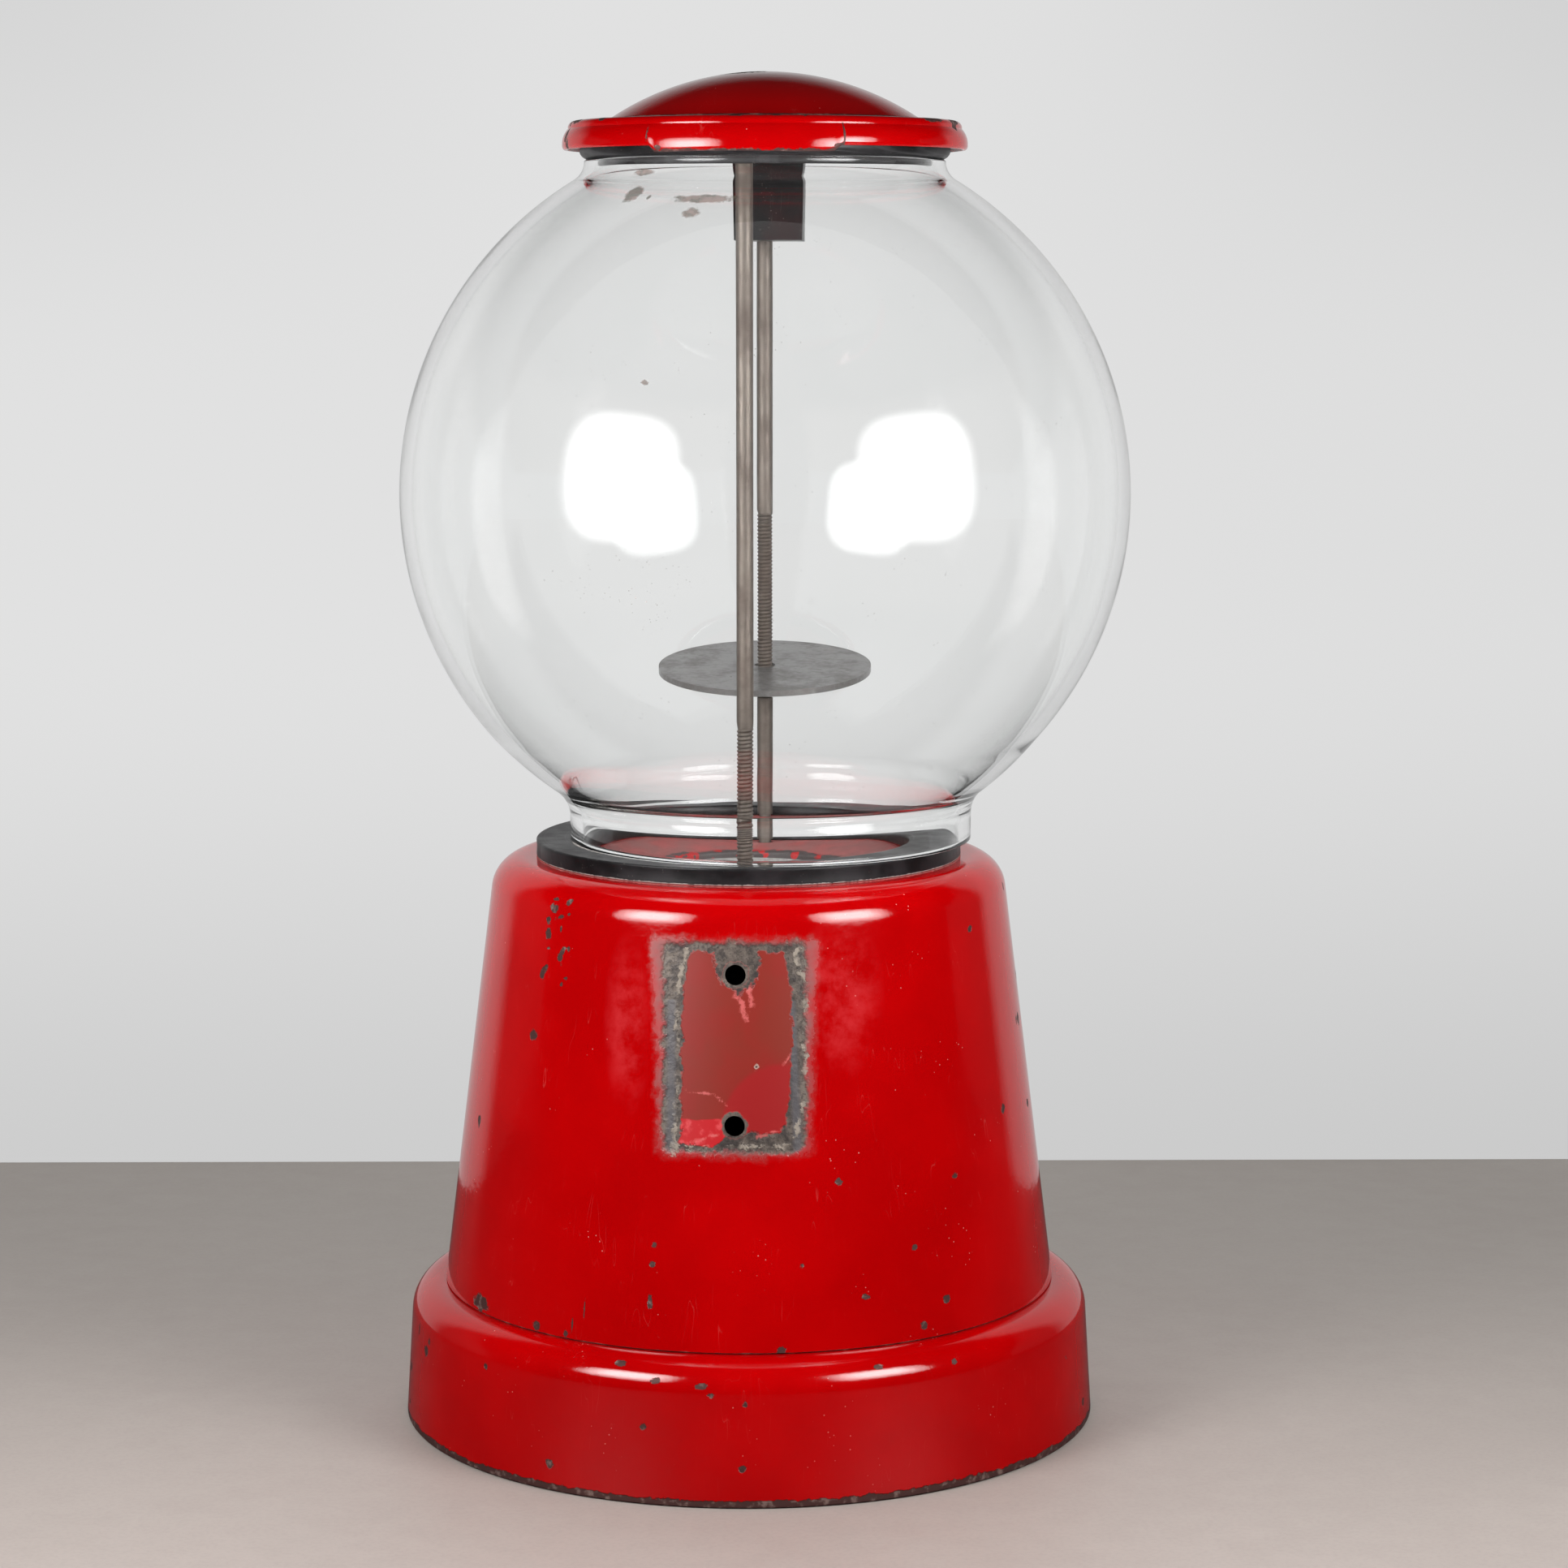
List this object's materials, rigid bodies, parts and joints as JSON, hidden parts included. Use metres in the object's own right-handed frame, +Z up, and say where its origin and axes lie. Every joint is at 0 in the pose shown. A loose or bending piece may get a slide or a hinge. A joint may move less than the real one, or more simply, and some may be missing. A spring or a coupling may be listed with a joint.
{
  "type": "gumball machine",
  "caption": "Coin-worked ball vending machine: flared red enamelled stand, round glass globe held by tie rods, domed locking lid, geared pocket wheel, chute and flap.",
  "frame": {"origin": "on the floor, under the middle of the stand's round base", "axes": "+Z up; the plain side with the bare two-hole pad, which the picture shows, faces -Y; coin head, handle and chute face +Y"},
  "size_m": [0.2118, 0.2118, 0.3904],
  "materials": {
    "red_enamel": "gloss enamel, worn",
    "zinc_sheet": "satin zinc plate",
    "black_rubber": "matt, dusty",
    "clear_glass": "clear",
    "worn_steel": "worn and tarnished",
    "cast_metal": "as cast",
    "polished_metal": "polished",
    "brass": "satin",
    "black_case": "black, dusty"
  },
  "bodies": {
    "stand": {"base_skirt": "red_enamel", "bottom_plate": "zinc_sheet", "body_shell": "red_enamel", "globe_gasket": "black_rubber", "globe": "clear_glass", "front_rod": "worn_steel", "rear_rod": "worn_steel", "rod_nuts": "worn_steel", "mechanism_frame": "cast_metal", "wheel_post": "worn_steel", "floor_plate": "zinc_sheet", "floor_spacer": "zinc_sheet", "post_nut": "worn_steel", "ball_guard": "zinc_sheet", "spindle_bush": "brass", "coin_head": "polished_metal", "coin_bracket": "cast_metal", "coin_deflector": "zinc_sheet", "head_screws": "worn_steel", "head_nuts": "worn_steel", "chute": "zinc_sheet", "drop_tube": "zinc_sheet", "chute_mouth": "polished_metal", "flap_pin": "worn_steel", "mouth_screws": "worn_steel", "centre_stud": "worn_steel", "wing_nut": "worn_steel", "stud_washer": "worn_steel"},
    "lid": {"lid_shell": "red_enamel", "lid_gasket": "black_rubber", "lock_case": "black_case", "lock_barrel": "polished_metal", "lock_collar": "polished_metal", "rod_socket": "worn_steel"},
    "lock": {"lock_plug": "brass", "lock_cam": "worn_steel"},
    "baffle": {"baffle_disc": "worn_steel"},
    "crank": {"handle": "polished_metal", "handle_nut": "polished_metal", "spindle": "worn_steel", "coin_wheel": "brass", "pinion": "brass"},
    "wheel": {"dispensing_wheel": "cast_metal", "wheel_gear": "brass"},
    "flap": {"chute_flap": "polished_metal"}
  },
  "joints": [
    {"name": "lid_lift", "type": "slide", "parent": "stand", "child": "lid", "axis": [0, 0, 1], "range_m": [0, 0.08]},
    {"name": "lock_turn", "type": "hinge", "parent": "lid", "child": "lock", "pos_m": [0.0049, 0.029, 0.37], "axis": [0, 0, -1], "range_deg": [0, 90]},
    {"name": "baffle_slide", "type": "slide", "parent": "stand", "child": "baffle", "axis": [0, 0, 1], "range_m": [0, 0.038]},
    {"name": "handle_turn", "type": "hinge", "parent": "stand", "child": "crank", "pos_m": [0, 0.09, 0.116], "axis": [0, -1, 0], "continuous": true},
    {"name": "wheel_turn", "type": "hinge", "parent": "stand", "child": "wheel", "pos_m": [0, 0, 0.137], "axis": [0, 0, 1], "continuous": true},
    {"name": "flap_swing", "type": "hinge", "parent": "stand", "child": "flap", "pos_m": [0, 0.091, 0.079], "axis": [1, 0, 0], "range_deg": [0, 75]}
  ],
  "couplings": [
    {"joint": "wheel_turn", "follows": "handle_turn", "ratio": 0.33333}
  ]
}
